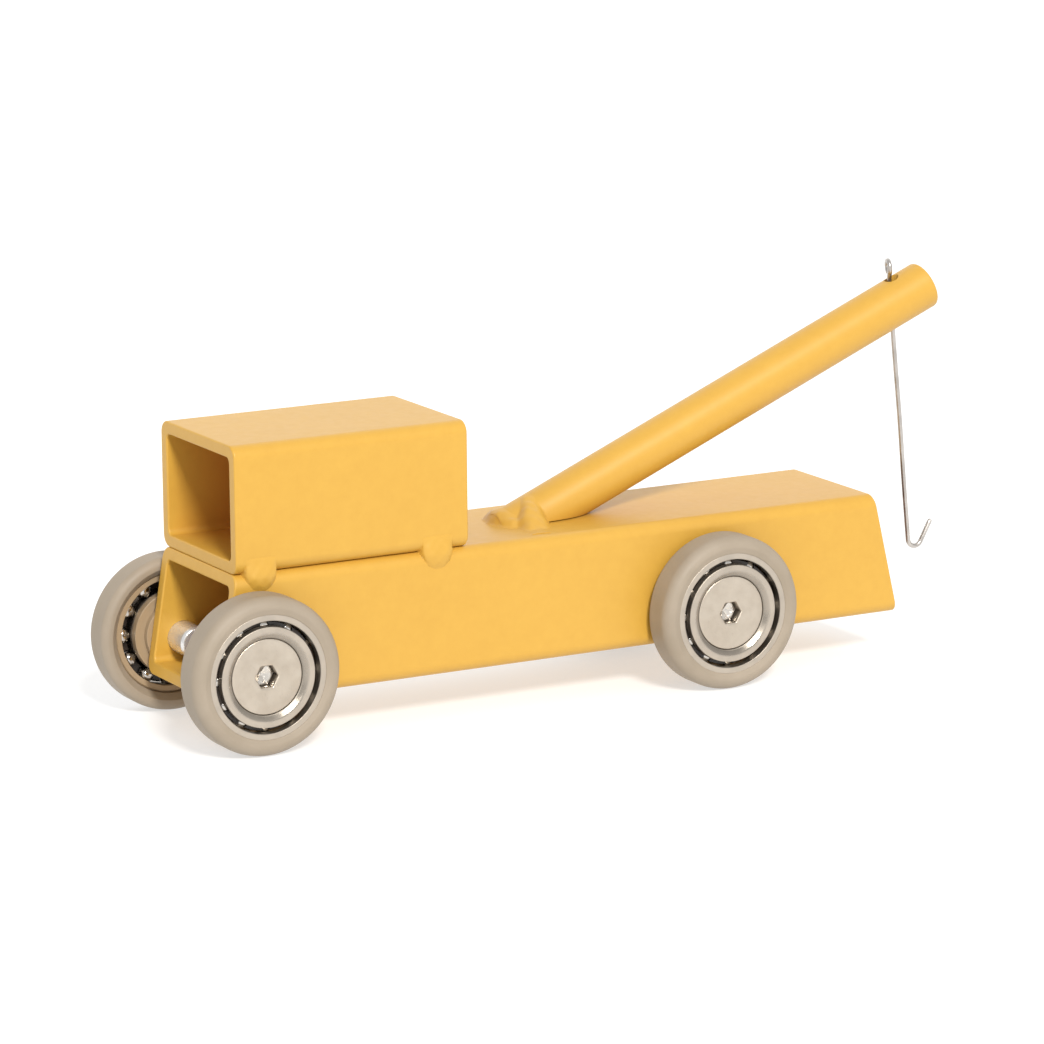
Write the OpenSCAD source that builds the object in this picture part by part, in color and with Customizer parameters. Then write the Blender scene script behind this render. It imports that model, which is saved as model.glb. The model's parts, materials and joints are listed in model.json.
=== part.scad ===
// Toy tow truck: a steel tube chassis with a welded tube cab and a leaning round-bar boom,
// four ball-bearing wheels on countersunk axle screws, and a bent wire tow hook.
// Frame: +X forward, +Y left, +Z up. Z = 0 is the ground, X = 0 is the middle of the overall
// length and Y = 0 is the middle of the width. Millimetres.

/* [Tubes] */
// Width of the rectangular steel tube
tube_w = 40; // [38:0.5:42]
// Height of the rectangular steel tube
tube_h = 30.5; // [29:0.5:32]
// Wall thickness of the tube
tube_wall = 3; // [2.5:0.5:3.5]
// Outer corner radius of the tube
tube_corner = 3; // [2:0.5:5]
// Height of the underside of the chassis above the ground
ride_height = 10.8; // [10:0.1:12]
// Length of the chassis along its top
deck_len = 175; // [170:1:180]
// How far the mitred front end runs forward at the bottom
front_rake = 5.2; // [2:0.1:8]
// How far the mitred rear end runs back at the bottom
rear_rake = 6.9; // [2:0.1:9]
// Length of the cab tube
cab_len = 61; // [50:1:70]
// Place of the cab's and the deck's shared front edge
cab_front_x = 94.6; // [94:0.1:96]

/* [Boom] */
// Diameter of the round-bar boom
boom_d = 12; // [11:0.5:13]
// Angle of the boom above the deck, in degrees
boom_rise = 22.8; // [21:0.1:25]
// Length of the boom's axis from the deck to its tip
boom_len = 123; // [118:1:126]
// Place where the boom's axis meets the deck
boom_foot_x = 6; // [0:0.5:12]
// Diameter of the upright hole near the boom's tip
hook_hole_d = 3.6; // [3.2:0.1:4]

/* [Tow hook] */
// Diameter of the hook's steel wire
wire_d = 1.2; // [1:0.1:1.4]
// Place of the middle of the upright hole along the truck
hook_x = -97.6; // [-100:0.1:-92]
// Lean of the hanging shank, its foot towards the rear, in degrees
hook_lean = 5.2; // [0:0.1:6]
// Length of the shank from the boom's axis down to the bend
shank_len = 61.4; // [50:0.1:64]
// Radius of the bend to the middle of the wire
bend_r = 2; // [1.5:0.1:3]
// How far the bend turns, in degrees
bend_turn = 146; // [130:1:170]
// Length of the straight tip after the bend
hook_tip_len = 6.2; // [4:0.1:8]
// Height of the eye's centre above the boom's axis, along the shank
eye_height = 9.4; // [9.2:0.1:12]
// Radius of the eye to the middle of the wire
eye_r = 1.65; // [1.4:0.05:1.8]
// Turn of the eye out of the plane of the hook, in degrees
eye_turn = 70; // [0:5:90]

/* [Wheels] */
// Distance between the front and rear axles
wheelbase = 125; // [120:1:130]
// Place of the front axle along the truck
front_axle_x = 91.5; // [90:0.1:92]
// Outside diameter of a tyre
tyre_d = 38; // [36:0.5:40]
// Width of a tyre over its side walls
tyre_w = 9.4; // [8.4:0.1:9.6]
// Width of the flat part of the tread
tread_w = 5.6; // [4.4:0.1:6]
// Overall length of an axle screw
screw_len = 20; // [18:1:25]
// Number of balls in a bearing
ball_count = 12; // [9:1:12]

/* [Hidden] */
$fn = 96;

deck_z = ride_height + tube_h;
roof_z = deck_z + tube_h;
axle_z = tyre_d / 2;
deck_rear_x = cab_front_x - deck_len;
half_w = tube_w / 2;
inner_corner = tube_corner / 2;
rear_axle_x = front_axle_x - wheelbase;
pivot_z = deck_z + (boom_foot_x - hook_x) * tan(boom_rise);

screw_d = 8;
foot_front = 11.2;

// Places along a wheel's own axis, measured outward from the side of the chassis
washer_t = 1.6;
washer_d = 16;
washer_hole_d = 8.4;
race_face = 9.8;
race_back = 3;
ball_w = 6;
ball_d = 4;
ball_pitch_r = 12;
groove_r = ball_d / 2 + 0.05;
outer_race_r = 14.9;
outer_race_back_r = 14.4;
outer_race_front_ri = 13.4;
outer_race_back_ri = 12.7;
inner_race_r = 12.3;
inner_race_back_r = 10.3;
inner_bore_r = 4.2;
head_r = 8.95;
head_sink = 0.9;
head_land = 0.35;
head_gap = 0.15;
mouth_r = 10.7;
socket_af = 5;
socket_depth = 3;
tip_chamfer = 0.8;
cage_ri = 10.75;
cage_rim_ri = 12.45;
cage_ro = 12.95;
cage_back = 6.2;
cage_step = 7.1;
cage_front = 8.6;
pocket_r = 2.15;
tyre_front = 10.3;
tyre_back = tyre_front - tyre_w;
tyre_lip_r = 16.4;
shoulder_r = (tyre_w - tread_w) / 2;

// Weld beads under the cab
cab_bead_x = [88, 41.8];
cab_bead_y = 17.7;
cab_bead_drop = 0.9;
cab_bead_r = 4.3;
// Weld beads around the boom's foot: [x ahead of the foot, y, z above the deck, radius]
boom_beads = [
    [3.5, 8, 0, 5.4],
    [3.8, 9.6, -0.8, 5],
    [6.6, 4, -2.2, 5],
    [8, 0, -2.8, 4.8],
    [6.8, -3.4, -2.4, 4.9]
];

// Corners: [name, axle place, side], with side +1 on the left and -1 on the right
CORNERS = [
    ["front_left", front_axle_x, 1],
    ["front_right", front_axle_x, -1],
    ["rear_left", rear_axle_x, 1],
    ["rear_right", rear_axle_x, -1]
];
WHEEL_PARTS = ["tyre", "outer_race", "inner_race", "balls", "ball_cage", "axle_screw", "spacer_washer"];

paint = [0.98, 0.74, 0.3];
steel = [0.72, 0.71, 0.69];
tyre_grey = [0.78, 0.73, 0.64];
cage_black = [0.12, 0.1, 0.09];

// Rectangle with true round corners, standing on its lower edge
module round_rect(w, h, r) {
    translate([-w / 2 + r, 0]) square([w - 2 * r, h]);
    translate([-w / 2, r]) square([w, h - 2 * r]);
    for (side = [-1, 1])
        for (level = [r, h - r])
            translate([side * (w / 2 - r), level]) circle(r);
}

// Solid bar with the tube's outer section, from x0 to x1 with its underside at z0
module tube_bar(x0, x1, z0) {
    translate([x0, 0, z0])
        rotate([90, 0, 90])
            linear_extrude(x1 - x0) round_rect(tube_w, tube_h, tube_corner);
}

// Hollow of a tube, from x0 to x1 with the tube's underside at z0
module tube_hollow(x0, x1, z0) {
    translate([x0, 0, z0 + tube_wall])
        rotate([90, 0, 90])
            linear_extrude(x1 - x0)
                round_rect(tube_w - 2 * tube_wall, tube_h - 2 * tube_wall, inner_corner);
}

// Side outline of the chassis with its two mitred ends
module chassis_outline() {
    polygon([
        [deck_rear_x - rear_rake, ride_height],
        [cab_front_x + front_rake, ride_height],
        [cab_front_x, deck_z],
        [deck_rear_x, deck_z]
    ]);
}

module chassis_tube() {
    x0 = deck_rear_x - rear_rake - 1;
    x1 = cab_front_x + front_rake + 1;
    color(paint) difference() {
        intersection() {
            tube_bar(x0, x1, ride_height);
            rotate([90, 0, 0]) linear_extrude(tube_w + 2, center = true) chassis_outline();
        }
        tube_hollow(x0 - 1, x1 + 1, ride_height);
        for (x = [front_axle_x, rear_axle_x])
            translate([x, 0, axle_z])
                rotate([90, 0, 0]) cylinder(d = screw_d, h = tube_w + 2, center = true);
    }
}

module cab_tube() {
    x0 = cab_front_x - cab_len;
    color(paint) difference() {
        tube_bar(x0, cab_front_x, deck_z);
        tube_hollow(x0 - 1, cab_front_x + 1, deck_z);
    }
}

// Everything below the deck plane
module under_deck() {
    translate([-150, -50, deck_z - 60]) cube([300, 100, 60]);
}

// Plain boom bar with its foot cut flush with the deck and blunt at the front
module boom_bar() {
    foot_run = boom_d / tan(boom_rise);
    difference() {
        translate([boom_foot_x, 0, deck_z])
            rotate([0, boom_rise - 90, 0])
                translate([0, 0, -foot_run]) cylinder(d = boom_d, h = boom_len + foot_run);
        under_deck();
        translate([boom_foot_x + foot_front, -boom_d, deck_z - 1]) cube(2 * boom_d);
    }
}

module boom() {
    color(paint) difference() {
        boom_bar();
        translate([hook_x, 0, pivot_z]) cylinder(d = hook_hole_d, h = 3 * boom_d, center = true);
    }
}

// Beads that join the cab to the chassis, two on each side
module cab_welds() {
    color(paint) difference() {
        for (x = cab_bead_x)
            for (side = [-1, 1])
                translate([x, side * cab_bead_y, deck_z - cab_bead_drop]) sphere(cab_bead_r);
        tube_bar(x0 = -100, x1 = 120, z0 = ride_height);
        tube_bar(x0 = -100, x1 = 120, z0 = deck_z);
    }
}

// Bead around the front of the boom's foot
module boom_weld() {
    color(paint) difference() {
        for (bead = boom_beads)
            translate([boom_foot_x + bead[0], bead[1], deck_z + bead[2]]) sphere(bead[3]);
        tube_bar(x0 = -100, x1 = 120, z0 = ride_height);
        boom_bar();
    }
}

// Hook of one bent wire, hanging from its eye, with the boom's axis at its origin
module hook_wire() {
    wire_r = wire_d / 2;
    translate([0, 0, eye_height])
        rotate([0, 0, eye_turn])
            rotate([90, 0, 0])
                rotate_extrude() translate([eye_r, 0]) circle(wire_r);
    translate([0, 0, -shank_len]) cylinder(r = wire_r, h = shank_len + eye_height - eye_r);
    translate([-bend_r, 0, -shank_len])
        rotate([90, 0, 0])
            rotate([0, 0, -bend_turn]) {
                rotate_extrude(angle = bend_turn) translate([bend_r, 0]) circle(wire_r);
                translate([bend_r, 0, 0]) rotate([90, 0, 0]) cylinder(r = wire_r, h = hook_tip_len);
            }
}

module tow_hook() {
    color(steel)
        translate([hook_x, 0, pivot_z])
            rotate([0, hook_lean, 0]) hook_wire();
}

// Children are drawn with +Z outward along a wheel's axis from the side of the chassis
module at_corner(corner) {
    translate([corner[1], corner[2] * half_w, axle_z])
        rotate([-90 * corner[2], 0, 0]) children();
}

// Ring of revolution from an outline of [radius, place along the axis] points
module turned(outline) {
    rotate_extrude() polygon(outline);
}

module ball_track(r) {
    translate([0, 0, ball_w])
        rotate_extrude() translate([ball_pitch_r, 0]) circle(r);
}

module ball_set(r) {
    for (i = [0:ball_count - 1])
        rotate([0, 0, i * 360 / ball_count])
            translate([ball_pitch_r, 0, ball_w]) sphere(r);
}

// Solid tyre: flat tread between true round shoulders, and a chamfered lip at the back
module tyre() {
    r = tyre_d / 2;
    color(tyre_grey) rotate_extrude() difference() {
        union() {
            translate([outer_race_r, tyre_back])
                square([r - shoulder_r - outer_race_r, tyre_w]);
            translate([outer_race_r, tyre_back + shoulder_r]) square([r - outer_race_r, tread_w]);
            for (w = [tyre_back + shoulder_r, tyre_front - shoulder_r])
                translate([r - shoulder_r, w]) circle(shoulder_r);
        }
        polygon([
            [outer_race_r - 1, tyre_back - 1],
            [tyre_lip_r + 1, tyre_back - 1],
            [outer_race_r - 1, tyre_back + tyre_lip_r - outer_race_r + 1]
        ]);
        translate([outer_race_r - 1, race_face]) square([1.5, 1]);
    }
}

module outer_race() {
    color(steel) difference() {
        turned([
            [outer_race_back_ri, race_back],
            [outer_race_back_r, race_back],
            [outer_race_r, race_back + 0.5],
            [outer_race_r, race_face],
            [outer_race_front_ri, race_face],
            [outer_race_front_ri, ball_w + 1],
            [outer_race_back_ri, ball_w - 1]
        ]);
        ball_track(groove_r);
    }
}

module inner_race() {
    seat_z = race_face - head_sink - head_land;
    cone_r = head_r + head_gap;
    color(steel) difference() {
        turned([
            [inner_bore_r, washer_t],
            [inner_race_back_r, washer_t],
            [inner_race_back_r, ball_w],
            [inner_race_r, ball_w],
            [inner_race_r, race_face],
            [mouth_r, race_face],
            [cone_r, race_face - head_sink],
            [cone_r, seat_z],
            [inner_bore_r, seat_z - (cone_r - inner_bore_r)]
        ]);
        ball_track(groove_r);
    }
}

module balls() {
    color(steel) ball_set(ball_d / 2);
}

// Crown cage: a thin rim in the bearing's open front with fingers between the balls
module ball_cage() {
    color(cage_black) difference() {
        turned([
            [cage_ri, cage_back],
            [cage_ro, cage_back],
            [cage_ro, cage_front],
            [cage_rim_ri, cage_front],
            [cage_rim_ri, cage_step],
            [cage_ri, cage_step]
        ]);
        ball_set(pocket_r);
    }
}

// Countersunk screw with a hexagon socket, its thread drawn as a plain shank
module axle_screw() {
    r = screw_d / 2;
    top = race_face - head_sink;
    cone_top = top - head_land;
    color(steel) difference() {
        turned([
            [0, top - screw_len],
            [r - tip_chamfer, top - screw_len],
            [r, top - screw_len + tip_chamfer],
            [r, cone_top - (head_r - r)],
            [head_r, cone_top],
            [head_r, top],
            [0, top]
        ]);
        translate([0, 0, top - socket_depth])
            cylinder(d = socket_af / cos(30), h = socket_depth + 1, $fn = 6);
    }
}

module spacer_washer() {
    color(steel) difference() {
        cylinder(d = washer_d, h = washer_t);
        translate([0, 0, -1]) cylinder(d = washer_hole_d, h = washer_t + 2);
    }
}

chassis_tube();
cab_tube();
boom();
cab_welds();
boom_weld();
tow_hook();
for (corner = CORNERS) {
    at_corner(corner) tyre();
    at_corner(corner) outer_race();
    at_corner(corner) inner_race();
    at_corner(corner) balls();
    at_corner(corner) ball_cage();
    at_corner(corner) axle_screw();
    at_corner(corner) spacer_washer();
}
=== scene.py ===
import json
import math

import bmesh
import bpy
import numpy as np
from mathutils import Matrix, Vector


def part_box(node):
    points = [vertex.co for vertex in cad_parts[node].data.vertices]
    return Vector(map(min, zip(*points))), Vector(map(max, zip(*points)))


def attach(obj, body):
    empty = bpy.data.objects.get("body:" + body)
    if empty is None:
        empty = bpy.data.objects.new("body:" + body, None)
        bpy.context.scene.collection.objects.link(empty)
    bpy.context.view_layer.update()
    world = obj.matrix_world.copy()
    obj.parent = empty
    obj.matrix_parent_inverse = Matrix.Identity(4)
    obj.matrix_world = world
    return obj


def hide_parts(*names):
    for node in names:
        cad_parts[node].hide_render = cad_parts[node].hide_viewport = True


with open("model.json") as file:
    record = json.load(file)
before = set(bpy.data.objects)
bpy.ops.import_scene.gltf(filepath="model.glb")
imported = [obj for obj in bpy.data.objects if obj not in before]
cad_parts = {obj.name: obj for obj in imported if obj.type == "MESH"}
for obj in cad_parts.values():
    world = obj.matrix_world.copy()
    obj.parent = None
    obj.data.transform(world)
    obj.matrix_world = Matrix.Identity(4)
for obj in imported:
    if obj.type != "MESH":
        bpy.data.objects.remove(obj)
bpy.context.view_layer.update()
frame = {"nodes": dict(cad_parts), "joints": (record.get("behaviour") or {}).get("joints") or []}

# Sizes are millimetres and degrees in the frame's axes. MM turns them into metres.
MM = 0.001
SAME_POINT = 1e-5  # points closer than this are merged
FULL_TURN = 2 * math.pi


def box_mm(name):
    """Lowest and highest corner of a CAD node in millimetres."""
    low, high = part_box(name)
    return np.array(low) / MM, np.array(high) / MM


def joint_mm(name):
    """Place in millimetres and axis of a joint."""
    found = next(joint for joint in frame["joints"] if joint["name"] == name)
    return np.array(found["pos_m"]) / MM, np.array(found["axis"], float)


def top_rear_x(name, height):
    """Rearmost x of a CAD node's vertices at one height, in millimetres."""
    vertices = frame["nodes"][name].data.vertices
    return min(v.co.x for v in vertices if v.co.z > height * MM - SAME_POINT) / MM


# Tubes
CHASSIS_LOW, CHASSIS_HIGH = box_mm("chassis_tube")
CAB_LOW, CAB_HIGH = box_mm("cab_tube")
TUBE_W = CHASSIS_HIGH[1] - CHASSIS_LOW[1]
TUBE_H = CHASSIS_HIGH[2] - CHASSIS_LOW[2]
HALF_W = TUBE_W / 2
DECK_Z = CHASSIS_HIGH[2]
DECK_REAR_X = top_rear_x("chassis_tube", DECK_Z)
TUBE_WALL = 3
TUBE_CORNER = 3
INNER_CORNER = 1.5
TUBE_EDGE = 0.45

# Boom and hook
BOOM_RISE = math.radians(22.8)
BOOM_R = 6
BOOM_EDGE = 0.8
BOOM_BLUNT = 10  # from the foot of the boom's axis forward to its cut-off point
FOOT_GAP = 0.3  # dark line of contact under the foot
HOOK_PIVOT, HOOK_AXIS = joint_mm("hook_swivel")
HOLE_R = 1.8
WIRE_R = 0.6
FOOT_X = HOOK_PIVOT[0] + (HOOK_PIVOT[2] - DECK_Z) / math.tan(BOOM_RISE)

# Wheel parts, as distances from the wheel's axis and outward from the chassis's side
THREAD_R = 4
RACE_FACE = 9.8
BALL_W = 6
BALL_R = 2
BALL_COUNT = 12
BALL_PITCH_R = 12
GROOVE_R = 2.05
OUTER_RACE_R = 14.9
OUTER_BORE = 13.4
FLANGE_R = 12.07
BORE_R = 4.2
WASHER_W = 1.6
MOUTH_R = 9.1
HEAD_TOP = RACE_FACE - 0.9
SCREW_LEN = 20
SOCKET_FLAT = 2.5
AXLE_Z = sum(box_mm("tyre_front_left")[i][2] for i in (0, 1)) / 2


# ---------------------------------------------------------------- shapes
# A shape is a pair: an array of points and a list of faces.

def skin(rows, closed=False):
    """Shape whose rows of points are joined by quads, and capped at both ends unless closed."""
    rows = np.asarray(rows, float)
    count, around = rows.shape[:2]
    faces = []
    for i in range(count if closed else count - 1):
        here, there = i * around, (i + 1) % count * around
        for j in range(around):
            k = (j + 1) % around
            faces.append((here + j, here + k, there + k, there + j))
    if not closed:
        for first in (0, (count - 1) * around):
            if np.ptp(rows[first // around], axis=0).max() > 1e-6:
                faces.append(tuple(range(first, first + around)))
    return rows.reshape(-1, 3), faces


def joined(shapes):
    """One shape that holds several."""
    points, faces, start = [], [], 0
    for some_points, some_faces in shapes:
        points.append(some_points)
        faces += [tuple(index + start for index in face) for face in some_faces]
        start += len(some_points)
    return np.concatenate(points), faces


def mesh_of(name, shape):
    """Mesh of a closed shape, its doubled points merged and its faces turned outward."""
    mesh = bpy.data.meshes.new(name)
    mesh.from_pydata([tuple(point) for point in shape[0]], [], shape[1])
    work = bmesh.new()
    work.from_mesh(mesh)
    bmesh.ops.remove_doubles(work, verts=work.verts, dist=SAME_POINT)
    bmesh.ops.recalc_face_normals(work, faces=work.faces)
    work.to_mesh(mesh)
    work.free()
    return mesh


def carved(shape, cutters):
    """The shape with the cutters' shapes taken out of it."""
    made = [bpy.data.objects.new("work", mesh_of("work", one)) for one in [shape, *cutters]]
    for one in made:
        bpy.context.scene.collection.objects.link(one)
    for cutter in made[1:]:
        cut = made[0].modifiers.new("cut", "BOOLEAN")
        cut.operation = "DIFFERENCE"
        cut.solver = "EXACT"
        cut.object = cutter
    result = made[0].evaluated_get(bpy.context.evaluated_depsgraph_get()).data
    points = np.array([vertex.co for vertex in result.vertices], float)
    faces = [tuple(polygon.vertices) for polygon in result.polygons]
    for one in made:
        mesh = one.data
        bpy.data.objects.remove(one)
        bpy.data.meshes.remove(mesh)
    return points, faces


def add_piece(name, shape, body, look, replaced, place=None):
    """Adds a shape to the scene in place of CAD nodes. Its own points stay in the attribute "local"."""
    material, slot = look
    mesh = mesh_of(name, shape)
    local = np.array([vertex.co for vertex in mesh.vertices], float)
    attribute = mesh.attributes.new("local", "FLOAT_VECTOR", "POINT")
    attribute.data.foreach_set("vector", local.ravel())
    world = local if place is None else place(local)
    mesh.vertices.foreach_set("co", (world * MM).ravel())
    work = bmesh.new()
    work.from_mesh(mesh)
    bmesh.ops.recalc_face_normals(work, faces=work.faces)
    work.to_mesh(mesh)
    work.free()
    for polygon in mesh.polygons:
        polygon.use_smooth = True
    mesh.set_sharp_from_angle(angle=math.radians(42))
    mesh.materials.append(material)
    piece = bpy.data.objects.new(name, mesh)
    bpy.context.scene.collection.objects.link(piece)
    normals = piece.modifiers.new("normals", "WEIGHTED_NORMAL")
    normals.keep_sharp = True
    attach(piece, body)
    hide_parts(*replaced)


def arc(centre, radius, first, last, steps):
    """Points on an arc, between two angles in degrees."""
    angles = np.radians(np.linspace(first, last, steps + 1))
    return [(centre[0] + radius * math.cos(a), centre[1] + radius * math.sin(a)) for a in angles]


def softened(outline, radius, steps=3):
    """Closed outline with each corner of more than 25 degrees rounded."""
    points = [np.array(point, float) for point in outline]
    result = []
    for i, here in enumerate(points):
        back = points[i - 1] - here
        ahead = points[(i + 1) % len(points)] - here
        room = 0.45 * min(np.linalg.norm(back), np.linalg.norm(ahead))
        back /= np.linalg.norm(back)
        ahead /= np.linalg.norm(ahead)
        turn = math.acos(max(-1, min(1, -back @ ahead)))
        if turn < math.radians(25):
            result.append(here)
            continue
        reach = min(radius * math.tan(turn / 2), room)
        inward = (back + ahead) / np.linalg.norm(back + ahead)
        round_r = reach / math.tan(turn / 2)
        centre = here + inward * round_r / math.cos(turn / 2)
        start = here + back * reach - centre
        end = here + ahead * reach - centre
        for share in np.linspace(0, 1, steps + 1):
            swung = start * math.sin((1 - share) * turn) + end * math.sin(share * turn)
            result.append(centre + swung / math.sin(turn))
    return result


def turned(outline, around=120):
    """Rows made by turning an outline of (distance from the axis, place along it)."""
    angles = np.arange(around) * FULL_TURN / around
    return [[(r * math.cos(a), r * math.sin(a), w) for a in angles] for r, w in outline]


def ball(centre, radius, steps=18, around=28):
    """Shape of one ball."""
    outline = arc((0, 0), radius, -90, 90, steps)
    points, faces = skin(turned(outline, around))
    return points + np.array(centre, float), faces


def ball_ring(radius):
    """Shapes of a ring of balls between the races."""
    shapes = []
    for i in range(BALL_COUNT):
        angle = i * FULL_TURN / BALL_COUNT
        centre = (BALL_PITCH_R * math.cos(angle), BALL_PITCH_R * math.sin(angle), BALL_W)
        shapes.append(ball(centre, radius))
    return shapes


# ---------------------------------------------------------------- tubes

def tube_loop(inset, middle_z, corner_steps=9, flat_steps=8):
    """Points (y, z) around the tube's section, drawn in by the inset."""
    half_y = HALF_W - inset
    half_z = TUBE_H / 2 - inset
    radius = TUBE_CORNER - inset if inset < TUBE_WALL / 2 else INNER_CORNER + TUBE_WALL - inset
    corners = [(1, 1, 0), (-1, 1, 90), (-1, -1, 180), (1, -1, 270)]
    arcs = []
    for side_y, side_z, first in corners:
        centre = (side_y * (half_y - radius), side_z * (half_z - radius))
        arcs.append(arc(centre, radius, first, first + 90, corner_steps))
    points = []
    for i, here in enumerate(arcs):
        points += here
        start, end = np.array(here[-1]), np.array(arcs[(i + 1) % 4][0])
        points += [tuple(start + (end - start) * k / flat_steps) for k in range(1, flat_steps)]
    return np.array(points) + (0, middle_z)


def tube(middle_z, rear_x, front_x, length_steps=26):
    """Tube whose ends lie at rear_x(z) and front_x(z), with their edges rounded."""
    rows = []

    def add_row(inset, share, setback):
        loop = tube_loop(inset, middle_z)
        rear = rear_x(loop[:, 1]) + setback
        front = front_x(loop[:, 1]) - setback
        rows.append(np.column_stack([rear + (front - rear) * share, loop]))

    def add_end(share, insets):
        for inset, setback in insets:
            add_row(inset, share, setback)

    round_off = [math.radians(a) for a in (0, 22.5, 45, 67.5, 90)]
    outer = [(TUBE_EDGE * (1 - math.cos(a)), TUBE_EDGE * (1 - math.sin(a))) for a in round_off]
    inner = [(TUBE_WALL - inset, setback) for inset, setback in reversed(outer)]
    shares = np.linspace(0, 1, length_steps + 1)[1:-1]
    add_end(1, outer + inner)
    for share in shares[::-1]:
        add_row(TUBE_WALL, share, TUBE_EDGE)
    add_end(0, (outer + inner)[::-1])
    for share in shares:
        add_row(0, share, TUBE_EDGE)
    return skin(rows, closed=True)


def chassis_tube():
    """Chassis with mitred ends and its four axle holes."""
    front = lambda z: CAB_HIGH[0] + (CHASSIS_HIGH[0] - CAB_HIGH[0]) * (DECK_Z - z) / TUBE_H
    rear = lambda z: DECK_REAR_X + (CHASSIS_LOW[0] - DECK_REAR_X) * (DECK_Z - z) / TUBE_H
    body = tube(DECK_Z - TUBE_H / 2, rear, front)
    holes = []
    for name in ("tyre_front_left", "tyre_rear_left"):
        low, high = box_mm(name)
        x = (low[0] + high[0]) / 2
        rows = turned([(THREAD_R, w) for w in (-HALF_W - 2, HALF_W + 2)], 96)
        points, faces = skin(rows)
        holes.append((points[:, [0, 2, 1]] + (x, 0, AXLE_Z), faces))
    return carved(body, holes)


def cab_tube():
    """Cab with square ends."""
    rear = lambda z: CAB_LOW[0] + 0 * z
    front = lambda z: CAB_HIGH[0] + 0 * z
    return tube(DECK_Z + TUBE_H / 2, rear, front)


# ---------------------------------------------------------------- boom and hook

def along_boom(points):
    """Points with the boom's axis as their third coordinate, set in place on the deck."""
    up = np.array([-math.cos(BOOM_RISE), 0, math.sin(BOOM_RISE)])
    side = np.array([0, 1, 0])
    top = np.cross(side, up)
    origin = np.array([FOOT_X, 0, DECK_Z])
    return origin + points[:, :1] * side + points[:, 1:2] * top + points[:, 2:] * up


def slab(low, high):
    """Shape of a box, used to cut with."""
    section = [(low[0], low[1]), (high[0], low[1]), (high[0], high[1]), (low[0], high[1])]
    return skin([[(x, y, z) for x, y in section] for z in (low[2], high[2])])


def boom():
    """Round bar with a softened tip, its foot cut just above the deck, and the hook's hole."""
    low, high = box_mm("boom")
    length = (FOOT_X - low[0] - BOOM_R * math.sin(BOOM_RISE)) / math.cos(BOOM_RISE)
    below = BOOM_R / math.tan(BOOM_RISE) + 4
    clear = 20  # how far the cutters reach past the bar
    outline = [(BOOM_R, s) for s in np.linspace(-below, length - BOOM_EDGE, 40)]
    outline += arc((BOOM_R - BOOM_EDGE, length - BOOM_EDGE), BOOM_EDGE, 0, 90, 5)[1:]
    outline += [(BOOM_R * 0.5, length), (0, length)]
    points, faces = skin(turned(outline, 96))
    bar = along_boom(points), faces
    front_x = high[0] + 2 * clear
    under = slab((low[0], -clear, DECK_Z - 2 * clear), (front_x, clear, DECK_Z + FOOT_GAP))
    ahead = slab((FOOT_X + BOOM_BLUNT, -clear, DECK_Z - 1), (front_x, clear, DECK_Z + clear))
    points, faces = skin(turned([(HOLE_R, -15), (HOLE_R, 15)], 48))
    hole = points + HOOK_PIVOT, faces
    return carved(bar, [under, ahead, hole])


def smooth_path(knots, steps):
    """Points along a smooth curve that passes through every knot."""
    knots = np.array(knots, float)
    padded = np.vstack([2 * knots[0] - knots[1], knots, 2 * knots[-1] - knots[-2]])
    points = []
    for i in range(1, len(padded) - 2):
        a, b, c, d = padded[i - 1:i + 3]
        for t in np.arange(steps) / steps:
            points.append(0.5 * (2 * b + (c - a) * t + (2 * a - 5 * b + 4 * c - d) * t ** 2
                                 + (3 * b - a - 3 * c + d) * t ** 3))
    points.append(knots[-1])
    return points


def swept(path, radius, around=20, end_steps=5):
    """Round wire along a path, with domed ends."""
    path = np.array(path, float)
    ways = np.gradient(path, axis=0)
    ways /= np.linalg.norm(ways, axis=1)[:, None]
    side = np.cross(ways[0], (0.3, 1, 0.2))
    angles = np.arange(around) * FULL_TURN / around
    rings = []
    for point, way in zip(path, ways):
        side = side - way * (side @ way)
        side /= np.linalg.norm(side)
        other = np.cross(way, side)
        ring = np.outer(np.cos(angles), side) + np.outer(np.sin(angles), other)
        rings.append((point, way, ring))
    rows = []
    point, way, ring = rings[0]
    for a in np.radians(np.linspace(0, 90, end_steps + 1))[:-1]:
        rows.append(point + radius * (ring * math.sin(a) - way * math.cos(a)))
    for point, way, ring in rings[1:-1]:
        rows.append(point + ring * radius)
    point, way, ring = rings[-1]
    for a in np.radians(np.linspace(90, 0, end_steps + 1))[1:]:
        rows.append(point + radius * (ring * math.sin(a) + way * math.cos(a)))
    return skin(rows)


# The hook's own sizes, with heights measured along its shank from the boom's axis
SHANK = 61.4
SHANK_TOP = 4
SHANK_SWAY = 0.14
BEND_R = 2
BEND_TURN = 146
TIP = 6.2 - WIRE_R
EYE_HEIGHT = 9.4
EYE_R = 1.65
EYE_TURN = math.radians(70)


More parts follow.
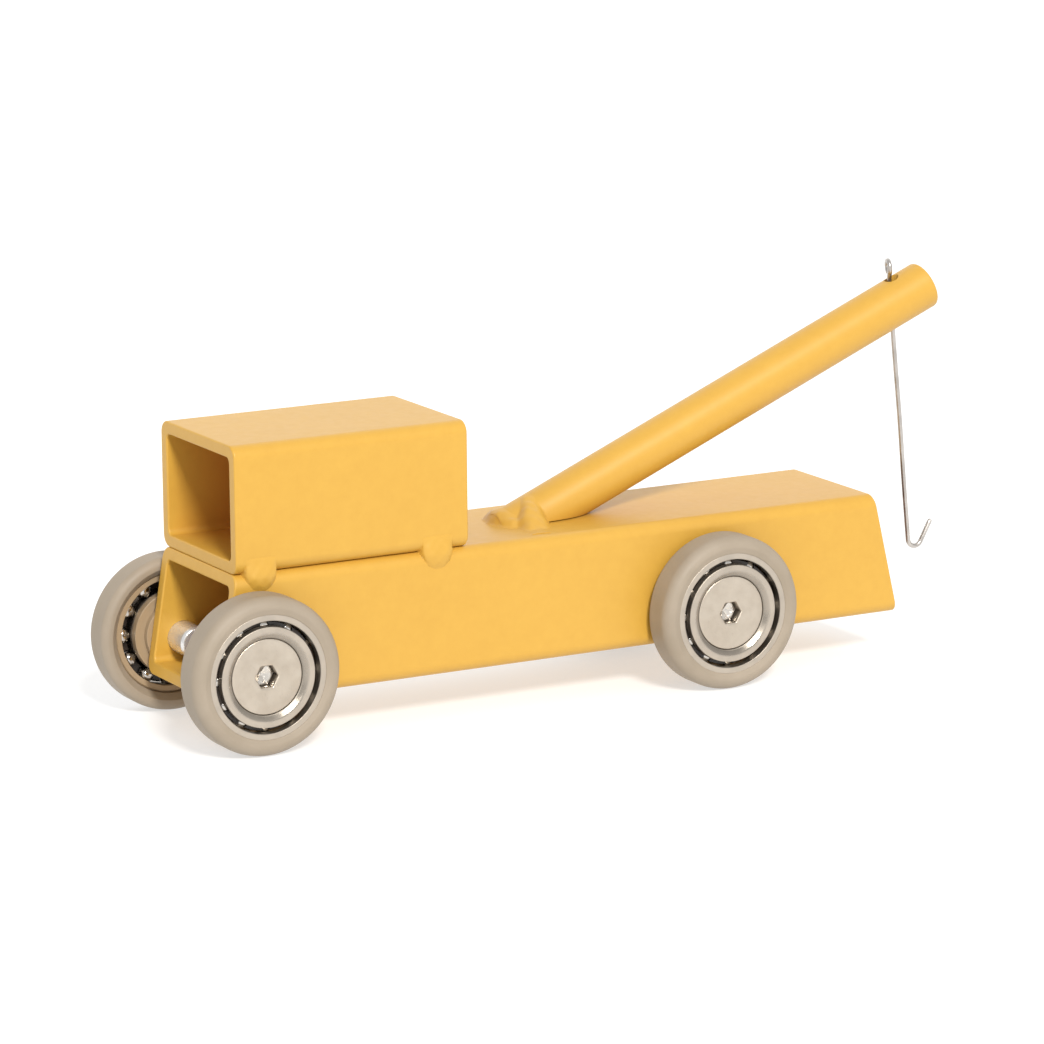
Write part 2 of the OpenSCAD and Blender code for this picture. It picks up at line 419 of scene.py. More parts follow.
def hook_path():
    """Centre line of the wire, from the end of its eye down to its tip."""
    across = np.array([math.cos(EYE_TURN), math.sin(EYE_TURN), 0])
    centre = np.array([0, 0, EYE_HEIGHT])
    up = np.array([0, 0, 1])
    points = []
    for degrees in np.linspace(238, -58, 50):
        a = math.radians(degrees)
        points.append(centre + EYE_R * (math.cos(a) * across + math.sin(a) * up))
    below_eye = (0, 0, EYE_HEIGHT - EYE_R - 1.5)
    neck = smooth_path([points[-2], points[-1], below_eye, (0, 0, SHANK_TOP)], 8)
    points += neck[9:-1]
    for share in np.linspace(0, 1, 60):
        z = SHANK_TOP - share * (SHANK_TOP + SHANK)
        sway = SHANK_SWAY * math.sin(share * 9) * math.sin(math.pi * share)
        points.append(np.array([sway, 0.6 * sway, z]))
    bend = np.array([-BEND_R, 0, -SHANK])
    for degrees in np.linspace(0, BEND_TURN, 24)[1:]:
        a = math.radians(-degrees)
        points.append(bend + BEND_R * np.array([math.cos(a), 0, math.sin(a)]))
    way = np.array([math.sin(a), 0, -math.cos(a)])
    bend_end = points[-1]
    for reach in np.linspace(0, TIP, 12)[1:]:
        points.append(bend_end + way * reach)
    return points


def tow_hook():
    """Bent wire hook, hanging along the axis of its swivel."""
    points, faces = swept(hook_path(), WIRE_R)
    up = HOOK_AXIS / np.linalg.norm(HOOK_AXIS)
    side = np.array([0, 1, 0])
    ahead = np.cross(side, up)
    world = HOOK_PIVOT + points[:, :1] * ahead + points[:, 1:2] * side + points[:, 2:] * up
    return world, faces


# ---------------------------------------------------------------- weld beads

LIP = 0.02  # how far a bead has to stand out before it is drawn
CAB_BEAD_R = 4.3


def higher(a, b, blend):
    """The higher of two surfaces, with a smooth fillet where they meet."""
    near = np.maximum(0, 1 - np.abs(a - b) / blend)
    return np.maximum(a, b) + blend * near ** 2 / 4


def lump(u, v, centre, reach, crest, power):
    """Height of a rounded lump that falls to zero at its reach and on below it."""
    far = np.sqrt(((u - centre[0]) / reach[0]) ** 2 + ((v - centre[1]) / reach[1]) ** 2)
    return crest * (1 - far ** power)


def relief(us, vs, base, raised, place, sunk=0.25):
    """Closed shape that stands on the surface base(u, v) wherever raised(u, v) is above it."""
    reach = 0.7 * (us[1] - us[0])  # how far a rim point may move to meet the true edge
    probe = 0.02
    flattest = 0.01
    u, v = np.meshgrid(us, vs, indexing="ij")

    def level(u, v):
        return raised(u, v) - base(u, v) - LIP

    now = level(u, v)
    kept = now[:-1, :-1] + now[1:, :-1] + now[1:, 1:] + now[:-1, 1:] > 0
    cells = np.zeros(u.shape, int)
    for i in (0, 1):
        for j in (0, 1):
            cells[i:i + kept.shape[0], j:j + kept.shape[1]] += kept
    rim = (cells > 0) & (cells < 4)
    u0, v0 = u.copy(), v.copy()
    for _ in range(8):
        now = level(u, v)
        slope_u = (level(u + probe, v) - level(u - probe, v)) / (2 * probe)
        slope_v = (level(u, v + probe) - level(u, v - probe)) / (2 * probe)
        move = now / np.maximum(slope_u ** 2 + slope_v ** 2, flattest)
        u = np.where(rim, np.clip(u - move * slope_u, u0 - reach, u0 + reach), u)
        v = np.where(rim, np.clip(v - move * slope_v, v0 - reach, v0 + reach), v)
    used = cells > 0
    index = np.full(u.shape, -1)
    index[used] = np.arange(used.sum())
    count = int(used.sum())
    top = place(u[used], v[used], np.maximum(raised(u, v), base(u, v))[used])
    bottom = place(u[used], v[used], base(u, v)[used] - sunk)
    faces = []
    edges = {}
    for i, j in zip(*np.nonzero(kept)):
        quad = [index[i, j], index[i + 1, j], index[i + 1, j + 1], index[i, j + 1]]
        faces.append(tuple(int(k) for k in quad))
        faces.append(tuple(int(k) + count for k in quad[::-1]))
        for a, b in zip(quad, quad[1:] + quad[:1]):
            edge = (int(a), int(b))
            shared = frozenset(edge) in edges
            edges[frozenset(edge)] = None if shared else edge
    for pair in edges.values():
        if pair is not None:
            a, b = pair
            faces.append((b, a, a + count, b + count))
    return np.vstack([top, bottom]), faces


def side_level(x, z):
    """How far the sides of the cab and the chassis stand out at height z above the deck, at any x."""
    rise = np.clip(TUBE_CORNER - np.abs(z), 0, TUBE_CORNER)
    return HALF_W - TUBE_CORNER + np.sqrt(TUBE_CORNER ** 2 - rise ** 2)


def cab_bead(x0, side, turn):
    """One bead in the groove between cab and chassis. turn varies its lumps."""

    def raised(x, z):
        # near grows from 0 in the bead's middle to 1 at its rim, which narrows downward
        across = np.abs(x - x0 - 0.15 * turn) / (4.1 - 0.3 * np.clip(-0.3 - z, 0, 4))
        down = np.clip(-0.9 - z, 0, 9) / 3.4
        near = across ** 2.4 + down ** 2.1
        fade = 1 - 0.12 * np.clip(-0.8 - z, 0, 4)
        share = np.clip((4.8 - z) / 6.2, 0, 1)
        swell = fade * (np.sin(math.pi / 2 * share) ** 2 + 0.1)
        cliff = 14 * np.clip(near - 0.85, 0, 9) ** 1.5
        top = 0.5 * np.clip(z - 3.2, 0, 9) ** 2
        ripple = 0.05 * np.sin(2.3 * x + turn) * np.sin(1.9 * z + 2 * turn)
        bead = swell * (1 - near ** 1.5) - 0.1 + ripple - cliff - top
        return higher(side_level(x, z), HALF_W + bead, 0.3)

    def place(x, z, y):
        return np.column_stack([x, side * y, z + DECK_Z])

    step = 0.2
    xs = np.arange(x0 - 7, x0 + 7, step)
    zs = np.arange(-7, 8, step)
    return relief(xs, zs, side_level, raised, place)


def cab_beads():
    """The four beads of the cab, placed by the boxes of the CAD beads."""
    low, high = box_mm("cab_welds")
    places = (high[0] - CAB_BEAD_R, low[0] + CAB_BEAD_R)
    shapes = []
    for i, x0 in enumerate(places):
        for side in (1, -1):
            shapes.append(cab_bead(x0, side, 1 - 1.6 * i + 0.3 * side))
    return joined(shapes)


def boom_bead():
    """Bead round the front of the boom's foot: a tall lump at its left and a low puddle ahead."""

    def base(x, y):
        inside = np.maximum(BOOM_R ** 2 - y ** 2, 0)
        crown = (FOOT_X - x) * math.tan(BOOM_RISE) + np.sqrt(inside) / math.cos(BOOM_RISE)
        on_boom = (np.abs(y) < BOOM_R) & (x < FOOT_X + BOOM_BLUNT)
        return np.where(on_boom, np.maximum(crown, 0), 0)

    def raised(x, y):
        # The ridge leans round the left of the foot. Three lumps make the puddle ahead of it.
        x1 = x - FOOT_X
        along = np.clip(y, 0, 12)
        crest = 5.9 * (1 - (along / 12.1) ** 1.7) - 0.35 * np.clip(-y, 0, 20) ** 2
        aside = (x1 - 0.7 - 0.3 * y) / (3.2 + 0.2 * along)
        falls = np.where(aside > 0, 5.5 * np.abs(aside) ** 3, 4.5 * np.abs(aside) ** 2.5)
        ridge = crest - falls
        front = lump(x1, y, (8, -0.4), (3.1, 6), 3.1, 2.4)
        far = lump(x1, y, (5.8, -4.6), (3.8, 3.2), 2, 2.6)
        near = lump(x1, y, (6.6, 4.8), (3.2, 2.8), 1.7, 2.4)
        ripple = 0.1 * np.sin(1.7 * x + 0.4) * np.sin(1.9 * y)
        puddle = higher(higher(front, far, 2.6), near, 2.8)
        return higher(base(x, y), higher(ridge, puddle, 3.4) + ripple, 0.9)

    def place(x, y, z):
        return np.column_stack([x, y, z + DECK_Z])

    step = 0.22
    xs = np.arange(FOOT_X - 4, FOOT_X + 16, step)
    ys = np.arange(-10, 16, step)
    return relief(xs, ys, base, raised, place)


# ---------------------------------------------------------------- wheels

def tyre():
    """Solid tyre with round shoulders, a faint mould line, and a chamfered lip at its back."""
    low, high = box_mm("tyre_front_left")
    outer = (high[2] - low[2]) / 2
    back = low[1] - HALF_W
    front = high[1] - HALF_W
    shoulder = 1.9
    face_shoulder = 2.7
    bore = OUTER_RACE_R
    lip = 1.5
    outline = [(bore, back + lip), (bore + lip, back), (bore + lip + 0.5, back)]
    outline += arc((outer - shoulder, back + shoulder), shoulder, -90, 0, 10)
    middle = (back + front) / 2
    outline += [(outer, middle - 0.25), (outer - 0.05, middle), (outer, middle + 0.25)]
    outline += arc((outer - face_shoulder, front - face_shoulder), face_shoulder, 0, 90, 12)
    outline += [(bore + 1.1, front - 0.08), (bore + 0.6, front - 0.3)]
    outline += [(bore - 0.1, RACE_FACE + 0.03)]
    return skin(turned(softened(outline, 0.3), 144), closed=True)


def outer_race():
    """Outer ring of the bearing, with its ball groove."""
    groove = arc((BALL_PITCH_R, BALL_W), GROOVE_R, 47, -56, 16)
    outline = [(13.15, 3), (OUTER_RACE_R - 0.5, 3), (OUTER_RACE_R, 3.5)]
    outline += [(OUTER_RACE_R, RACE_FACE), (OUTER_BORE, RACE_FACE)]
    return skin(turned(softened(outline, 0.18) + groove, 144), closed=True)


def inner_race():
    """Inner ring: shoulder, ball groove, flange, and a countersunk mouth for the screw."""
    groove = arc((BALL_PITCH_R, BALL_W), GROOVE_R, 214, 88, 16)
    outline = [(FLANGE_R, RACE_FACE), (10.55, RACE_FACE), (10.1, RACE_FACE - 0.16)]
    outline += [(9.4, HEAD_TOP + 0.12), (MOUTH_R, HEAD_TOP), (MOUTH_R, HEAD_TOP - 0.35)]
    outline += [(BORE_R, HEAD_TOP - 5.25), (BORE_R, WASHER_W), (10.3, WASHER_W)]
    return skin(turned(groove + softened(outline, 0.22)[:-1] + [(10.3, 2)], 144), closed=True)


def spacer_washer():
    """Plain washer between the inner ring and the chassis."""
    outline = [(BORE_R, 0), (8, 0), (8, WASHER_W), (BORE_R, WASHER_W)]
    return skin(turned(softened(outline, 0.2), 96), closed=True)


def ball_cage():
    """Cage of the balls: a flat ring, standing outward of their middles, with a pocket for each."""
    inner, outer, back, front = 10.75, 12.95, 6.2, 7.86
    pocket_r = 2.15
    outline = [(inner, back), (outer, back), (outer, front), (inner, front)]
    ring = skin(turned(softened(outline, 0.15), 144), closed=True)
    return carved(ring, [joined(ball_ring(pocket_r))])


def balls():
    """All the balls of one bearing."""
    return joined(ball_ring(BALL_R))


def axle_screw():
    """Countersunk screw with a plain chamfered shank, and a hexagon socket with a drilled bottom."""
    around = 96
    angles = np.arange(around) * FULL_TURN / around
    top = HEAD_TOP
    tip = top - SCREW_LEN
    shank_r = THREAD_R - 0.03
    head_r = 9.02
    cone_top = top - 0.35
    cone_foot = cone_top - (head_r - THREAD_R)
    rows = []

    def ring(radius, w):
        level = np.full(around, float(w))
        rows.append(np.column_stack([radius * np.cos(angles), radius * np.sin(angles), level]))

    outline = [(0, tip), (1.8, tip)]
    outline += arc((THREAD_R - 0.85, tip + 0.8), 0.8, -90, -38, 3)
    outline += [(shank_r, tip + 1)]
    outline += [(shank_r, w) for w in np.linspace(tip + 1.2, cone_foot, 14)]
    outline += [(head_r - 0.06, cone_top - 0.03)]
    outline += arc((head_r - 0.25, top - 0.25), 0.25, -20, 90, 5)
    outline += [(8, top), (7, top), (5.6, top), (4.4, top), (3.5, top)]
    for radius, w in outline:
        ring(radius, w)
    hexagon = SOCKET_FLAT / np.cos(np.mod(angles, FULL_TURN / 6) - FULL_TURN / 12)
    round_r = SOCKET_FLAT / math.cos(FULL_TURN / 12) + 0.12
    chamfer = [(0.32, top), (0.1, top - 0.12)]
    for grow, w in chamfer + [(0, top - 0.3), (0, top - 1.5), (0, top - 2.85)]:
        ring(np.minimum(hexagon + grow, round_r + grow) if grow else hexagon, w)
    for share in (0.92, 0.6, 0.25, 0):
        ring(hexagon * share, top - 3 - 0.9 * (0.92 - share))
    return skin(rows)


# What builds each wheel part, and the body it rides on, of which each corner has its own
# unless it is the chassis
WHEEL_PARTS = {
    "tyre": (tyre, "wheel"),
    "outer_race": (outer_race, "wheel"),
    "inner_race": (inner_race, "chassis"),
    "balls": (balls, "ball_set"),
    "ball_cage": (ball_cage, "ball_set"),
    "axle_screw": (axle_screw, "chassis"),
    "spacer_washer": (spacer_washer, "chassis"),
}


def add_wheels(looks):
    """Every wheel part at each of the four corners."""
    tyres = sorted(name for name in frame["nodes"] if name.startswith("tyre_"))
    for part, (builder, kind) in WHEEL_PARTS.items():
        shape = builder()
        for tyre_name in tyres:
            corner = tyre_name.removeprefix("tyre_")
            low, high = box_mm(tyre_name)
            x = (low[0] + high[0]) / 2
            side = 1 if high[1] > 0 else -1
            place = lambda p, x=x, side=side: np.column_stack(
                [x + side * p[:, 0], side * (HALF_W + p[:, 2]), AXLE_Z + p[:, 1]])
            body = kind if kind == "chassis" else f"{kind}_{corner}"
            name = f"{part}_{corner}"
            add_piece("look_" + name, shape, body, looks[part], [name], place)


# ---------------------------------------------------------------- materials

def node(tree, kind, inputs=(), **settings):
    """A new shader node with its settings and its input values or links."""
    made = tree.nodes.new(kind)
    for key, value in settings.items():
        setattr(made, key, value)
    for key, value in dict(inputs).items():
        if isinstance(value, bpy.types.NodeSocket):
            tree.links.new(value, made.inputs[key])
        else:
            made.inputs[key].default_value = value
    return made


def noise(tree, vector, scale, detail=2.0, roughness=0.5):
    """Value of a noise texture."""
    inputs = {"Vector": vector, "Scale": scale, "Detail": detail, "Roughness": roughness}
    return node(tree, "ShaderNodeTexNoise", inputs).outputs["Fac"]


def parts_of(tree, vector):
    """X, Y and Z of a vector."""
    return node(tree, "ShaderNodeSeparateXYZ", {"Vector": vector}).outputs


def ranged(tree, value, low, high, start=0.3, end=0.7):
    """A value that goes from low to high as the given one goes from start to end."""
    inputs = {"Value": value, "From Min": start, "From Max": end, "To Min": low, "To Max": high}
    return node(tree, "ShaderNodeMapRange", inputs).outputs["Result"]


def sums(tree, operation, first, second):
    """Result of a sum on two values. ABSOLUTE and SQRT read the first alone."""
    return node(tree, "ShaderNodeMath", {0: first, 1: second}, operation=operation).outputs[0]


def mixed(tree, share, first, second, blend="MIX"):
    """Colour of the first with the given share of the second on it."""
    inputs = {0: share, 6: first, 7: second}
    return node(tree, "ShaderNodeMix", inputs, data_type="RGBA", blend_type=blend).outputs[2]


def tints(tree, value, stops):
    """Colour from a value, through stops of (place, colour)."""
    made = node(tree, "ShaderNodeValToRGB", {"Fac": value})
    elements = made.color_ramp.elements
    while len(elements) < len(stops):
        elements.new(0.5)
    for element, (place, colour) in zip(elements, stops):
        element.position = place
        element.color = colour
    return made.outputs["Color"]


def bump(tree, height, distance, strength=1.0, normal=None):
    """Normal from a height, in metres at full height."""
    inputs = {"Height": height, "Distance": distance, "Strength": strength}
    if normal is not None:
        inputs["Normal"] = normal
    return node(tree, "ShaderNodeBump", inputs).outputs["Normal"]


def finish_of(slot, build):
    """Look of a slot of the record: the material, whose shader inputs come from build(tree, object
    place, local place), and the slot's name."""
    material = bpy.data.materials.new("look_" + slot)
    material.use_nodes = True
    tree = material.node_tree
    place = node(tree, "ShaderNodeTexCoord").outputs["Object"]
    local = node(tree, "ShaderNodeAttribute", attribute_name="local").outputs["Vector"]
    shader = tree.nodes["Principled BSDF"]
    for key, value in build(tree, place, local).items():
        if isinstance(value, bpy.types.NodeSocket):
            tree.links.new(value, shader.inputs[key])
        else:
            shader.inputs[key].default_value = value
    return material, slot


def lathe_place(tree, local):
    """Place as (distance from the wheel's axis, place along it), so that marks run round it."""
    parts = parts_of(tree, local)
    squares = [sums(tree, "POWER", parts[axis], 2.0) for axis in ("X", "Y")]
    radius = sums(tree, "SQRT", sums(tree, "ADD", *squares), 0.0)
    return node(tree, "ShaderNodeCombineXYZ", {"X": radius, "Y": parts["Z"]}).outputs["Vector"]


# Paint: clouds on the outside, and a dark red-brown painted shade far inside the tubes
PAINT_DARK = (0.554, 0.31, 0.0445, 1)
PAINT_LIGHT = (0.583, 0.333, 0.0497, 1)
# painted shade: the dark red-brown mixed in far inside the tubes
PAINT_INSIDE_SHADE = (0.51, 0.165, 0.018, 1)


def shade_inside_tubes(tree, local):
    """Share of painted shade: 1 inside the two tubes, fading to 0 towards their front mouths, and 0
    outside them.
    """
    parts = parts_of(tree, local)
    soft = 0.3
    half_w = HALF_W - TUBE_WALL
    half_h = TUBE_H / 2 - TUBE_WALL
    across = sums(tree, "ABSOLUTE", parts["Y"], 0.0)
    within = ranged(tree, across, 1.0, 0.0, half_w, half_w + soft)
    levels = []
    for middle in (DECK_Z - TUBE_H / 2, DECK_Z + TUBE_H / 2):
        offset = sums(tree, "ABSOLUTE", sums(tree, "SUBTRACT", parts["Z"], middle), 0.0)
        levels.append(ranged(tree, offset, 1.0, 0.0, half_h, half_h + soft))
    chassis, cab = levels
    ahead_of_boom = sums(tree, "GREATER_THAN", parts["X"], FOOT_X + 20)
    height = sums(tree, "MAXIMUM", chassis, sums(tree, "MULTIPLY", cab, ahead_of_boom))
    depth = ranged(tree, parts["X"], 1.0, 0.0, CAB_HIGH[0] - 24, CAB_HIGH[0] - 1)
    return sums(tree, "MULTIPLY", sums(tree, "MULTIPLY", within, height), depth)


def paint(tree, place, local):
    """Golden-yellow satin powder coat: faint clouding, orange peel and fine specks. Far inside the
    tubes a dark red-brown painted shade is mixed in."""
    cloud = noise(tree, place, 26, 3)
    peel = noise(tree, place, 620, 1.5)
    speck = noise(tree, place, 2600, 2)
    mottle = noise(tree, place, 330, 3, 0.65)
    clouds = sums(tree, "MULTIPLY", cloud, 0.45)
    patches = sums(tree, "ADD", clouds, sums(tree, "MULTIPLY", mottle, 0.55))
    colour = tints(tree, patches, [(0.34, PAINT_DARK), (0.66, PAINT_LIGHT)])
    normal = bump(tree, peel, 0.00006, 0.3)
    normal = bump(tree, speck, 0.00002, 0.3, normal)
    # painted shade far inside the tubes
    inside_shade = sums(tree, "MULTIPLY", shade_inside_tubes(tree, local), 0.9)
    return {
        "Base Color": mixed(tree, inside_shade, colour, PAINT_INSIDE_SHADE),
        "Roughness": ranged(tree, peel, 0.41, 0.45),
        "IOR": 1.46,
        "Normal": normal,
    }


RUBBER_DARK = (0.288, 0.235, 0.172, 1)
RUBBER_LIGHT = (0.328, 0.27, 0.204, 1)


def rubber(tree, place, local):
    """Matt beige-grey tyre rubber with faint mould rings and dust."""
    rings = noise(tree, lathe_place(tree, local), 1.6, 3)
    dust = noise(tree, place, 120, 4)
    fine = noise(tree, place, 3800, 2)
    normal = bump(tree, rings, 0.00008, 0.5)
    normal = bump(tree, fine, 0.00003, 0.4, normal)
    return {
        "Base Color": tints(tree, dust, [(0.3, RUBBER_DARK), (0.7, RUBBER_LIGHT)]),
        "Roughness": ranged(tree, dust, 0.5, 0.62),
        "Normal": normal,
    }


# Turned steel, and painted shade on its faces by distance from the wheel's axis
STEEL_DARK = (0.56 * 0.88, 0.495 * 0.88, 0.415 * 0.88, 1)
STEEL_LIGHT = (0.56, 0.495, 0.415, 1)
# painted shade and painted reflection of the yellow chassis on the inboard faces
STEEL_INBOARD_SHADE = (0.34, 0.245, 0.145, 1)
STEEL_ROUGH = 0.48
FACE_BEVEL_R = 10
# painted shade as (distance from the axis, brightness): darker over the inner ring's bevel and the ball
# gap
FACE_SHADE_LEVELS = [
    (9.1, 0.5),
    (9.5, 0.68),
    (10.3, 0.8),
    (10.8, 1),
    (11.8, 1),
    (12.1, 0.7),
    (13.4, 0.7),
    (13.7, 1),
]
FACE_REACH = 16


def turned_steel(tree, place, local):
    """Turned steel of the bearing rings and washers: lathe marks round the wheel's axis, painted shade
    at some distances from it over the inner ring's bevel and the ball gap, a smoother bevel on the
    inner ring, and on the inboard side a dull tan that is painted shade and a painted reflection of the
    yellow chassis."""
    turned_place = lathe_place(tree, local)
    rings = noise(tree, turned_place, 9, 2)
    smear = noise(tree, place, 260, 4)
    metal = tints(tree, smear, [(0.3, STEEL_DARK), (0.65, STEEL_LIGHT)])
    radius = parts_of(tree, turned_place)["X"]
    stops = [(r / FACE_REACH, (level, level, level, 1)) for r, level in FACE_SHADE_LEVELS]
    # painted shade by distance from the axis
    recess_shade = tints(tree, sums(tree, "DIVIDE", radius, FACE_REACH), stops)
    face = mixed(tree, 1.0, metal, recess_shade, "MULTIPLY")
    # inboard faces: not metal, rougher, and coloured with a tan painted shade and reflection
    dull_and_shaded = ranged(tree, parts_of(tree, local)["Z"], 1.0, 0.0, 3.2, 4.2)
    near_bevel = {0: radius, 1: FACE_BEVEL_R, 2: 0.6}
    bevel = node(tree, "ShaderNodeMath", near_bevel, operation="COMPARE").outputs[0]
    rougher = sums(tree, "MULTIPLY", dull_and_shaded, 0.2)
    smoother = sums(tree, "MULTIPLY", bevel, 0.22)
    smeared = ranged(tree, smear, STEEL_ROUGH - 0.05, STEEL_ROUGH + 0.07)
    return {
        "Base Color": mixed(tree, dull_and_shaded, face, STEEL_INBOARD_SHADE),
        "Metallic": sums(tree, "SUBTRACT", 1.0, dull_and_shaded),
        "Roughness": sums(tree, "ADD", smeared, sums(tree, "SUBTRACT", rougher, smoother)),
        "Normal": bump(tree, rings, 0.00004, 0.5),
    }


SCREW_DARK = (0.53, 0.46, 0.375, 1)
SCREW_LIGHT = (0.61, 0.54, 0.45, 1)
# painted highlight on the socket's bottom
SOCKET_HIGHLIGHT = (0.88, 0.84, 0.78, 1)
# painted shade on the socket's walls
SOCKET_SHADE = (0.07, 0.05, 0.035, 1)
# light grey of the shank, partly a painted highlight
SHANK_SHEEN = (0.74, 0.735, 0.73, 1)


def screw_steel(tree, place, local):
    """Zinc-plated screw: cloudy head with fine specks, painted shade on its socket's walls, a smoother
    socket bottom with a painted highlight, and a shank whose lighter grey is partly a painted
    highlight."""
    cloud = noise(tree, place, 300, 3)
    specks = noise(tree, place, 1500, 1)
    head = tints(tree, cloud, [(0.3, SCREW_DARK), (0.7, SCREW_LIGHT)])
    outward = parts_of(tree, local)["Z"]
    radius = parts_of(tree, lathe_place(tree, local))["X"]
    sunk = ranged(tree, outward, 1.0, 0.0, HEAD_TOP - 1.4, HEAD_TOP - 0.25)
    # painted shade on the socket's walls
    wall = ranged(tree, radius, 0.15, 0.75, 2.2, SOCKET_FLAT)
    walls = sums(tree, "MULTIPLY", sunk, wall)
    within = sums(tree, "LESS_THAN", radius, 3.2)
    in_head = sums(tree, "GREATER_THAN", outward, HEAD_TOP - 4.2)
    near_socket = sums(tree, "MULTIPLY", within, in_head)
    recess_shade = sums(tree, "MULTIPLY", walls, near_socket)
    # painted highlight on the socket's bottom, which is also smoother
    highlight_and_polish = sums(tree, "MULTIPLY", near_socket, sums(tree, "SUBTRACT", sunk, walls))
    # the shank: a lighter grey that is partly a painted highlight, less metallic and smoother
    shank = ranged(tree, outward, 1.0, 0.0, -2.0, 0.0)
    highlighted = mixed(tree, highlight_and_polish, head, SOCKET_HIGHLIGHT)
    shaded = mixed(tree, recess_shade, highlighted, SOCKET_SHADE)
    smoother = sums(tree, "MULTIPLY", sums(tree, "MAXIMUM", shank, highlight_and_polish), 0.16)
    return {
        "Base Color": mixed(tree, shank, shaded, SHANK_SHEEN),
        "Metallic": ranged(tree, shank, 1.0, 0.7, 0.0, 1.0),
        "Roughness": sums(tree, "SUBTRACT", ranged(tree, cloud, 0.34, 0.44), smoother),
        "Normal": bump(tree, ranged(tree, specks, 0.0, 1.0, 0.6, 0.75), 0.00006, 0.5),
    }


def polished(tree, place, local):
    """Polished bearing balls with a thin, uneven film of oil."""
    film = noise(tree, place, 500, 2)
    return {
        "Base Color": (0.6, 0.57, 0.53, 1),
        "Metallic": 1.0,
        "Roughness": ranged(tree, film, 0.05, 0.16),
    }


CAGE_DARK = (0.012, 0.009, 0.007, 1)
CAGE_LIGHT = (0.03, 0.02, 0.015, 1)


def dark_cage(tree, place, local):
    """Black moulded cage with grease on it."""
    film = noise(tree, place, 400, 3)
    return {
        "Base Color": tints(tree, film, [(0.35, CAGE_DARK), (0.7, CAGE_LIGHT)]),
        "Roughness": ranged(tree, film, 0.15, 0.5),
        "Normal": bump(tree, film, 0.0003, 0.6),
    }


WIRE_DARK = (0.42, 0.39, 0.36, 1)
WIRE_LIGHT = (0.62, 0.585, 0.55, 1)


def drawn_wire(tree, place, local):
    """Bare drawn wire, with fine lines along it."""
    stretch = node(tree, "ShaderNodeMapping", {"Vector": place, "Scale": (1.0, 1.0, 0.03)})
    lines = noise(tree, stretch.outputs["Vector"], 9000, 2)
    smear = noise(tree, place, 180, 3)
    return {
        "Base Color": tints(tree, smear, [(0.3, WIRE_DARK), (0.7, WIRE_LIGHT)]),
        "Metallic": 1.0,
        "Roughness": ranged(tree, smear, 0.28, 0.42),
        "Normal": bump(tree, lines, 0.00002, 0.4),
    }


# ---------------------------------------------------------------- stage

# The camera, in degrees and metres, with its lens in millimetres
CAMERA_AZIMUTH = 151.34
CAMERA_ELEVATION = 12.36
CAMERA_ROLL = -0.506
CAMERA_DISTANCE = 1.2557
CAMERA_TARGET = (0.00822, 0, 0.04083)
CAMERA_LENS = 178.5

FLOOR_DARK = (0.5, 0.5, 0.5, 1)
FLOOR_LIGHT = (0.52, 0.52, 0.52, 1)
FLOOR_GLOW = 0.55
GLOW_WAY = (-0.455, -0.83, 0.3)  # towards the brightest part of the surround


def way_back(azimuth, elevation):
    """Unit vector towards a viewer at that azimuth and elevation."""
    a, e = math.radians(azimuth), math.radians(elevation)
    return Vector((math.sin(a) * math.cos(e), -math.cos(a) * math.cos(e), math.sin(e)))


def add_camera():
    """Camera at the photograph's viewing angle."""
    data = bpy.data.cameras.new("camera")
    data.lens = CAMERA_LENS
    data.clip_start = 0.05
    data.clip_end = 50
    camera = bpy.data.objects.new("camera", data)
    bpy.context.scene.collection.objects.link(camera)
    back = way_back(CAMERA_AZIMUTH, CAMERA_ELEVATION)
    a, roll = math.radians(CAMERA_AZIMUTH), math.radians(CAMERA_ROLL)
    level = Vector((math.cos(a), math.sin(a), 0))
    upright = back.cross(level)
    right = math.cos(roll) * level + math.sin(roll) * upright
    up = math.cos(roll) * upright - math.sin(roll) * level
    turn = Matrix((right, up, back)).transposed().to_4x4()
    stand = Vector(CAMERA_TARGET) + back * CAMERA_DISTANCE
    camera.matrix_world = Matrix.Translation(stand) @ turn
    bpy.context.scene.camera = camera


def add_key(azimuth, elevation, spread, strength, colour):
    """Main light from one direction, with its spread in degrees."""
    data = bpy.data.lights.new("key", "SUN")
    data.angle = math.radians(spread)
    data.energy = strength
    data.color = colour
    light = bpy.data.objects.new("key", data)
    light.rotation_euler = way_back(azimuth, elevation).to_track_quat("Z", "Y").to_euler()
    bpy.context.scene.collection.objects.link(light)


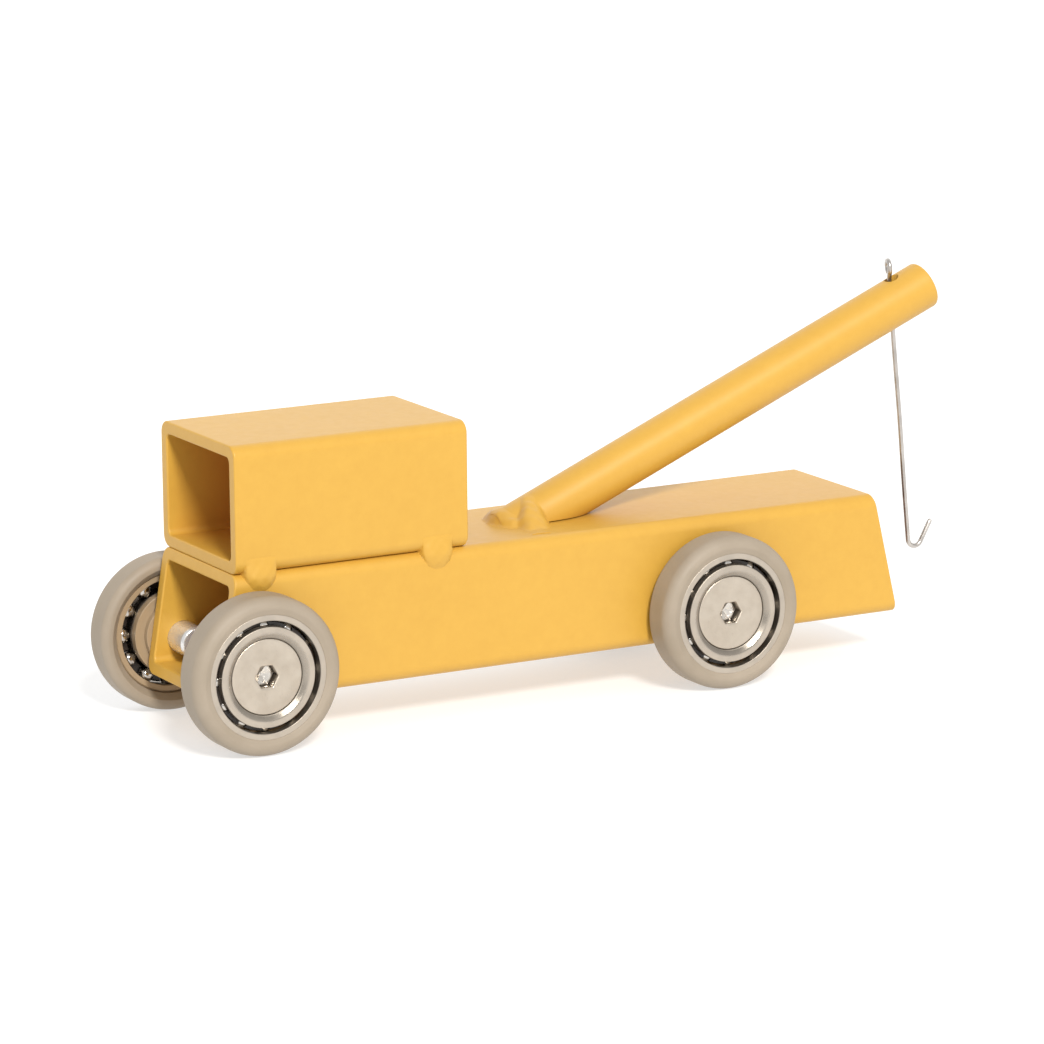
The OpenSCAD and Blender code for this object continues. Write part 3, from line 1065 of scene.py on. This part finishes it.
def add_floor():
    """Large pale floor disc, just below the wheels."""
    material = bpy.data.materials.new("floor")
    material.use_nodes = True
    tree = material.node_tree
    shader = tree.nodes["Principled BSDF"]
    place = node(tree, "ShaderNodeTexCoord").outputs["Object"]
    faint = noise(tree, place, 3, 2)
    colour = tints(tree, faint, [(0.3, FLOOR_DARK), (0.7, FLOOR_LIGHT)])
    tree.links.new(colour, shader.inputs["Base Color"])
    shader.inputs["Roughness"].default_value = 0.8
    shader.inputs["Specular IOR Level"].default_value = 0.0
    shader.inputs["Emission Color"].default_value = (1, 1, 1, 1)
    shader.inputs["Emission Strength"].default_value = FLOOR_GLOW
    radii = [0, 0.3, 1, 3, 8, 20]
    around = 64
    rows = turned([(r, 0) for r in radii], around)
    points = [point for row in rows for point in row]
    faces = []
    for i in range(len(radii) - 1):
        for j in range(around):
            k = (j + 1) % around
            faces.append((i * around + j, (i + 1) * around + j, (i + 1) * around + k, i * around + k))
    mesh = bpy.data.meshes.new("floor")
    mesh.from_pydata(points, [], faces)
    work = bmesh.new()
    work.from_mesh(mesh)
    bmesh.ops.remove_doubles(work, verts=work.verts, dist=SAME_POINT)
    work.to_mesh(mesh)
    work.free()
    mesh.materials.append(material)
    floor = bpy.data.objects.new("floor", mesh)
    floor.location.z = -0.0001
    bpy.context.scene.collection.objects.link(floor)


def add_world():
    """Plain white surround: dimmer overhead, and brightest low on the right behind the truck."""
    world = bpy.context.scene.world or bpy.data.worlds.new("world")
    bpy.context.scene.world = world
    world.use_nodes = True
    tree = world.node_tree
    background = next(n for n in tree.nodes if n.type == "BACKGROUND")
    place = node(tree, "ShaderNodeTexCoord").outputs["Generated"]
    height = parts_of(tree, place)["Z"]
    ways = {0: place, 1: GLOW_WAY}
    behind = node(tree, "ShaderNodeVectorMath", ways, operation="DOT_PRODUCT")
    glow = ranged(tree, behind.outputs["Value"], 0.0, 0.78, 0.35, 1.0)
    level = sums(tree, "ADD", ranged(tree, height, 0.76, 0.64, 0.0, 0.9), glow)
    background.inputs["Color"].default_value = (1, 1, 1, 1)
    tree.links.new(level, background.inputs["Strength"])


def add_stage():
    """Camera, lights, floor and surround."""
    bpy.context.scene.view_settings.view_transform = "Standard"
    add_camera()
    add_world()
    add_floor()
    add_key(azimuth=167.5, elevation=37, spread=12, strength=2.95, colour=(1, 0.98, 0.95))


# ---------------------------------------------------------------- the truck

paint_look = finish_of("painted_steel", paint)
looks = {
    "tyre": finish_of("tyre_rubber", rubber),
    "outer_race": finish_of("bearing_steel", turned_steel),
    "balls": finish_of("ball_steel", polished),
    "ball_cage": finish_of("cage_plastic", dark_cage),
    "axle_screw": finish_of("screw_steel", screw_steel),
    "spacer_washer": finish_of("screw_steel", turned_steel),
}
looks["inner_race"] = looks["outer_race"]
wire_look = finish_of("hook_wire", drawn_wire)

add_piece("look_chassis_tube", chassis_tube(), "chassis", paint_look, ["chassis_tube"])
add_piece("look_cab_tube", cab_tube(), "chassis", paint_look, ["cab_tube"])
add_piece("look_boom", boom(), "chassis", paint_look, ["boom"])
add_piece("look_cab_welds", cab_beads(), "chassis", paint_look, ["cab_welds"])
add_piece("look_boom_weld", boom_bead(), "chassis", paint_look, ["boom_weld"])
add_piece("look_tow_hook", tow_hook(), "hook", wire_look, ["tow_hook"])
add_wheels(looks)
add_stage()
